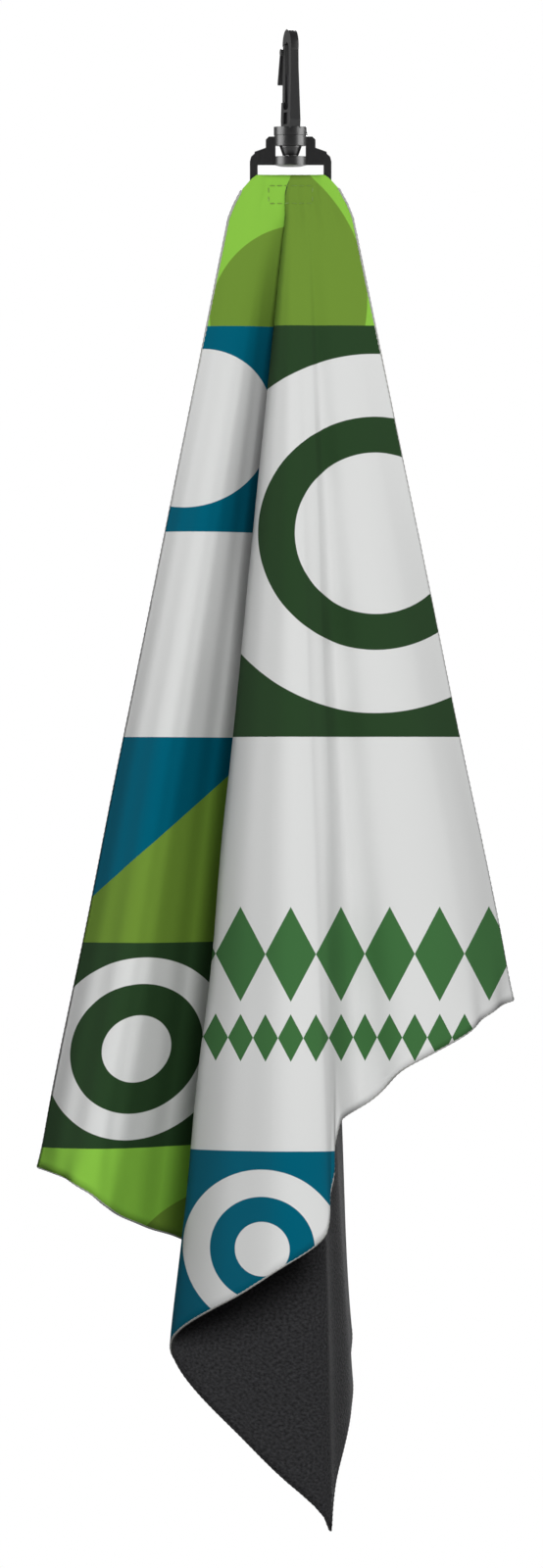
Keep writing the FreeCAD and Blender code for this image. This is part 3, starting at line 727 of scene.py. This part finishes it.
def dress_hardware(nodes):
    """Plastic hook, gate and base, and the steel pin and spring."""
    plastic = plastic_material()
    steel = steel_material()
    for name in ("hook_body", "gate_lever", "swivel_base"):
        paint(nodes[name], plastic)
        weld(nodes[name])
        round_edges(nodes[name])
    paint(nodes["gate_pin"], steel)
    weld(nodes["gate_pin"])
    leaf_spring(nodes["gate_spring"], steel)


def leaf_spring(node, steel):
    """The gate's spring in steel, in place of its CAD node, with its foot in the hook and its tip at the
    gate.
    """
    spring = bpy.data.objects.new("leaf_spring", node.data.copy())
    spring.matrix_world = node.matrix_world
    bpy.context.scene.collection.objects.link(spring)
    paint(spring, steel)
    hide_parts("gate_spring")
    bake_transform(spring)


def towel():
    """Face cloth, terry and hem thread, all from one draped sheet."""
    points, fall, a, b = drape()
    normals = grid_normals(points)
    maps = {
        "print": (0.5 + points[..., 0] / PRINT_SPAN, 1 + points[..., 2] / PRINT_SPAN),
        "flat": (a / LONG_SIDE, b / LONG_SIDE),
    }
    terry_depth = TERRY_PRESSED + (TERRY_THICKNESS - TERRY_PRESSED) * ease(*PILE_RISES, fall)
    low = np.full_like(fall, LAYER_GAP)
    face = cloth_piece("towel_face", points, normals, low, low + FACE_THICKNESS, maps)
    paint(face, face_material())
    terry = cloth_piece("towel_terry", points, normals, -terry_depth, np.zeros_like(fall), maps)
    paint(terry, terry_material())
    # the hem follows one edge down, the far edge across and the other edge up again
    first = int(np.argmax(fall[:, 0] > HEM_TOP))
    middle = points + normals * ((FACE_THICKNESS - terry_depth) / 2)[..., None]
    border = [(slice(first, -1), 0), (-1, slice(None)), (slice(-2, first, -1), -1)]
    centres = np.concatenate([middle[part] for part in border])
    facing = np.concatenate([normals[part] for part in border])
    hem = hem_thread("towel_hem", centres, facing)
    paint(hem, thread_material())
    return face, terry, hem


def face_at(surface, x, z):
    """Point and normal of the printed side, straight behind a place seen from the front, in metres."""
    hit, place, normal, _ = surface.ray_cast(Vector((x, IN_FRONT * MM, z)), Vector((0, 1, 0)))
    return place, normal


def box_stitch(face):
    """Box of short stitches that closes the folded corner round the bar."""
    low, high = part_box("corner_stitch")
    corners = [
        Vector((low.x, 0, low.z)),
        Vector((high.x, 0, low.z)),
        Vector((high.x, 0, high.z)),
        Vector((low.x, 0, high.z)),
    ]
    work = bmesh.new()
    for here, there in zip(corners, corners[1:] + corners[:1]):
        side = there - here
        count = round(side.length / MM / (STITCH_LENGTH + STITCH_GAP))
        for i in range(count):
            middle = here + side * ((i + 0.5) / count)
            place, normal = face_at(face, middle.x, middle.z)
            along = (side - normal * side.dot(normal)).normalized()
            turn = Matrix((along, normal.cross(along), normal)).transposed().to_4x4()
            size = Matrix.Diagonal((STITCH_LENGTH / 2 * MM, STITCH_RADIUS * MM, STITCH_RADIUS * MM, 1))
            lifted = Matrix.Translation(place + normal * (STITCH_LIFT * MM))
            bmesh.ops.create_icosphere(work, subdivisions=2, radius=1, matrix=lifted @ turn @ size)
    mesh = bpy.data.meshes.new("towel_stitches")
    work.to_mesh(mesh)
    work.free()
    stitches = show(mesh)
    paint(stitches, stitch_material())
    return stitches


def dress_towel():
    """The soft pieces, each in place of its CAD node."""
    face, terry, hem = towel()
    pieces = (
        (face, "face_cloth", "printed_polyester"),
        (terry, "terry_back", "charcoal_terry"),
        (hem, "edge_hem", "hem_thread"),
        (box_stitch(face), "corner_stitch", "stitch_thread"),
    )
    for piece, node, slot in pieces:
        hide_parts(node)
        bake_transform(piece)


# ---- studio --------------------------------------------------------------------------------------


def light(name, place, size, power):
    """A square soft light turned to the middle of the object."""
    data = bpy.data.lights.new(name, "AREA")
    data.energy = power
    data.size = size
    obj = bpy.data.objects.new(name, data)
    obj.location = place
    obj.rotation_euler = (Vector(LIGHT_TARGET) - Vector(place)).to_track_quat("-Z", "Y").to_euler()
    bpy.context.scene.collection.objects.link(obj)
    return obj


def lights():
    """One light in front that is not mirrored, one behind, and one at each side that is only mirrored."""
    light("key", place=(0.3, -3.0, 0.5), size=0.9, power=84).visible_glossy = False
    light("back", place=(0.6, 2.4, 0.8), size=1.5, power=130)
    for side in (-1, 1):
        sheen = light("sheen", place=(side * 2.6, -0.6, 0.1), size=2.4, power=150)
        sheen.visible_diffuse = False


def surroundings():
    """White all round: a faint fill, brighter in reflections, and full white behind the object."""
    scene = bpy.context.scene
    scene.view_settings.view_transform = "Standard"
    world = bpy.data.worlds.new("studio")
    scene.world = world
    world.use_nodes = True
    nodes, links = world.node_tree.nodes, world.node_tree.links
    nodes.clear()
    path = nodes.new("ShaderNodeLightPath")
    shown = white_sky(nodes, FILL)
    for ray, strength in (("Is Glossy Ray", MIRRORED), ("Is Camera Ray", BACKDROP)):
        mix = nodes.new("ShaderNodeMixShader")
        links.new(path.outputs[ray], mix.inputs[0])
        links.new(shown.outputs[0], mix.inputs[1])
        links.new(white_sky(nodes, strength).outputs[0], mix.inputs[2])
        shown = mix
    out = nodes.new("ShaderNodeOutputWorld")
    links.new(shown.outputs[0], out.inputs[0])


def white_sky(nodes, strength):
    sky = nodes.new("ShaderNodeBackground")
    sky.inputs["Color"].default_value = (1, 1, 1, 1)
    sky.inputs["Strength"].default_value = strength
    return sky


def floor():
    """A round pale floor that casts no soft light back on the object."""
    bpy.ops.mesh.primitive_circle_add(
        vertices=FLOOR_SIDES, radius=FLOOR_RADIUS, fill_type="NGON", location=(0, 0, FLOOR_Z)
    )
    disc = bpy.context.object
    disc.name = "floor"
    paint(disc, floor_material())
    disc.visible_diffuse = False


def camera():
    """A long lens straight in front, level with the middle of the object."""
    data = bpy.data.cameras.new("camera")
    data.lens = FOCAL_LENGTH
    data.sensor_width = SENSOR
    data.clip_end = FARTHEST_SEEN
    obj = bpy.data.objects.new("camera", data)
    distance = VIEW_HEIGHT / 2 / (SENSOR / 2 / FOCAL_LENGTH)
    obj.location = (VIEW_MIDDLE[0], -distance, VIEW_MIDDLE[1])
    obj.rotation_euler = (math.radians(90), 0, 0)
    bpy.context.scene.collection.objects.link(obj)
    bpy.context.scene.camera = obj


def main():
    for obj in list(bpy.data.objects):
        bpy.data.objects.remove(obj)
    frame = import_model()
    dress_hardware(frame["nodes"])
    dress_towel()
    floor()
    surroundings()
    lights()
    camera()


main()
